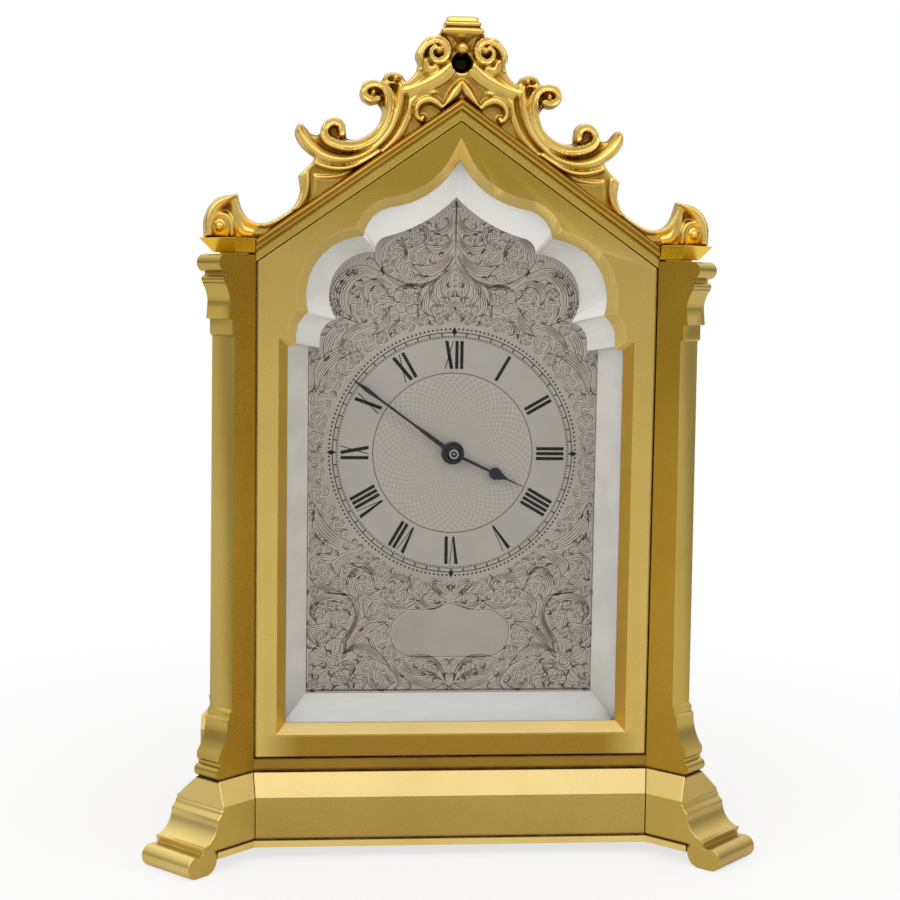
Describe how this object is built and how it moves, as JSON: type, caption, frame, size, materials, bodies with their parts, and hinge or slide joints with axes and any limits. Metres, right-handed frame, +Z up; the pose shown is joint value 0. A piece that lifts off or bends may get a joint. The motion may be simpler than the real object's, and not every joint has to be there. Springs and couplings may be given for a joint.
{
  "type": "lancet clock",
  "caption": "Gilt brass mantel clock with a gabled case, diagonal buttresses, a cusped ogee dial opening, scrolled cresting, hinged rear door and a going train with a platform escapement.",
  "frame": {"origin": "on the table, midway between the ends of the front and rear feet", "axes": "+Z up, the dial faces -Y, +X to the viewer's right"},
  "size_m": [0.1854, 0.1198, 0.2515],
  "materials": {
    "gilt": "satin gilt, finely brushed",
    "gilt_relief": "cast and burnished gilt with brown patina in the hollows",
    "gilt_body": "plain gilt",
    "movement_brass": "polished",
    "silvered_slip": "matt silvered, grained",
    "silvered_dial": "silvered, engraved and engine turned",
    "glass": "clear",
    "blued_steel": "blued",
    "steel": "polished"
  },
  "bodies": {
    "case": {"base_plate": "gilt_body", "plinth_front_panel": "gilt", "plinth_rear_panel": "gilt", "plinth_left_panel": "gilt", "plinth_right_panel": "gilt", "foot_front_left": "gilt", "foot_front_right": "gilt", "foot_rear_left": "gilt", "foot_rear_right": "gilt", "case_screws": "steel", "deck_plate": "gilt_body", "pillar_front_left": "gilt", "pillar_front_right": "gilt", "pillar_rear_left": "gilt", "pillar_rear_right": "gilt", "side_panel_left": "gilt", "side_panel_right": "gilt", "front_frame": "gilt", "rear_frame": "gilt", "raking_cornice_front": "gilt", "raking_cornice_rear": "gilt", "abacus_front_left": "gilt", "abacus_front_right": "gilt", "abacus_rear_left": "gilt", "abacus_rear_right": "gilt", "eave_left": "gilt", "eave_right": "gilt", "roof_left": "gilt_body", "roof_right": "gilt_body", "cresting": "gilt_relief", "front_glass": "glass", "dial_slip": "silvered_slip", "dial_plate": "silvered_dial", "movement_front_plate": "movement_brass", "movement_back_plate": "movement_brass", "movement_pillars": "movement_brass", "platform": "movement_brass", "balance_cock": "movement_brass", "hinge_frame_leaves": "movement_brass"},
    "door": {"rear_door": "gilt_body", "door_knob": "gilt", "hinge_door_leaves": "movement_brass"},
    "minute_arbor": {"minute_hand": "blued_steel", "hand_collet": "movement_brass", "cannon_pinion": "steel"},
    "hour_pipe": {"hour_hand": "blued_steel", "hour_wheel": "movement_brass"},
    "minute_work": {"minute_wheel": "movement_brass"},
    "going_barrel": {"barrel": "movement_brass", "mainspring": "steel"},
    "winding_arbor": {"barrel_arbor": "steel", "ratchet_wheel": "steel"},
    "click_lever": {"click": "steel"},
    "intermediate_arbor": {"intermediate_wheel": "movement_brass"},
    "centre_arbor": {"centre_wheel": "movement_brass"},
    "third_arbor": {"third_wheel": "movement_brass"},
    "contrate_arbor": {"contrate_wheel": "movement_brass"},
    "escape_arbor": {"escape_wheel": "steel"},
    "lever": {"pallet_lever": "steel"},
    "balance": {"balance_wheel": "movement_brass"}
  },
  "joints": [
    {"name": "door_hinge", "type": "hinge", "parent": "case", "child": "door", "pos_m": [-0.04215, 0.04832, 0.1043], "axis": [0, 0, 1], "range_deg": [0, 110]},
    {"name": "minute_turn", "type": "hinge", "parent": "case", "child": "minute_arbor", "pos_m": [0, -0.02538, 0.1218], "axis": [0, 1, 0], "continuous": true},
    {"name": "hour_turn", "type": "hinge", "parent": "case", "child": "hour_pipe", "pos_m": [0, -0.02538, 0.1218], "axis": [0, 1, 0], "continuous": true},
    {"name": "minute_wheel_turn", "type": "hinge", "parent": "case", "child": "minute_work", "pos_m": [0.0048, -0.02138, 0.13011], "axis": [0, 1, 0], "continuous": true},
    {"name": "contrate_turn", "type": "hinge", "parent": "case", "child": "contrate_arbor", "pos_m": [0.00311, -0.00537, 0.1404], "axis": [0, 1, 0], "continuous": true},
    {"name": "escape_turn", "type": "hinge", "parent": "case", "child": "escape_arbor", "pos_m": [0.00311, -0.00287, 0.1598], "axis": [0, 0, 1], "continuous": true},
    {"name": "third_turn", "type": "hinge", "parent": "case", "child": "third_arbor", "pos_m": [-0.01041, -0.00537, 0.13421], "axis": [0, 1, 0], "continuous": true},
    {"name": "centre_turn", "type": "hinge", "parent": "case", "child": "centre_arbor", "pos_m": [0, -0.00537, 0.1218], "axis": [0, 1, 0], "continuous": true},
    {"name": "intermediate_turn", "type": "hinge", "parent": "case", "child": "intermediate_arbor", "pos_m": [0.01419, -0.00537, 0.11174], "axis": [0, 1, 0], "continuous": true},
    {"name": "barrel_turn", "type": "hinge", "parent": "case", "child": "going_barrel", "pos_m": [-0.004, -0.00537, 0.0985], "axis": [0, 1, 0], "continuous": true},
    {"name": "winding_turn", "type": "hinge", "parent": "case", "child": "winding_arbor", "pos_m": [-0.004, 0.00962, 0.0985], "axis": [0, 1, 0], "continuous": true},
    {"name": "click_pivot", "type": "hinge", "parent": "case", "child": "click_lever", "pos_m": [0.00778, 0.00962, 0.10399], "axis": [0, 1, 0], "range_deg": [0, 12], "stiffness_Nm_per_rad": 0.0005, "springref_deg": -11.46},
    {"name": "lever_pivot", "type": "hinge", "parent": "case", "child": "lever", "pos_m": [-0.00389, -0.00287, 0.1598], "axis": [0, 0, 1], "range_deg": [-5, 5]},
    {"name": "balance_swing", "type": "hinge", "parent": "case", "child": "balance", "pos_m": [-0.01239, -0.00287, 0.1598], "axis": [0, 0, 1], "range_deg": [-135, 135], "stiffness_Nm_per_rad": 0.00001}
  ],
  "couplings": [
    {"joint": "hour_turn", "follows": "minute_turn", "ratio": 0.083333},
    {"joint": "minute_wheel_turn", "follows": "minute_turn", "ratio": -0.33333},
    {"joint": "escape_turn", "follows": "contrate_turn", "ratio": 10},
    {"joint": "third_turn", "follows": "contrate_turn", "ratio": -0.13333},
    {"joint": "centre_turn", "follows": "contrate_turn", "ratio": 0.016667},
    {"joint": "intermediate_turn", "follows": "contrate_turn", "ratio": -0.0034722},
    {"joint": "barrel_turn", "follows": "contrate_turn", "ratio": 0.00043403}
  ]
}
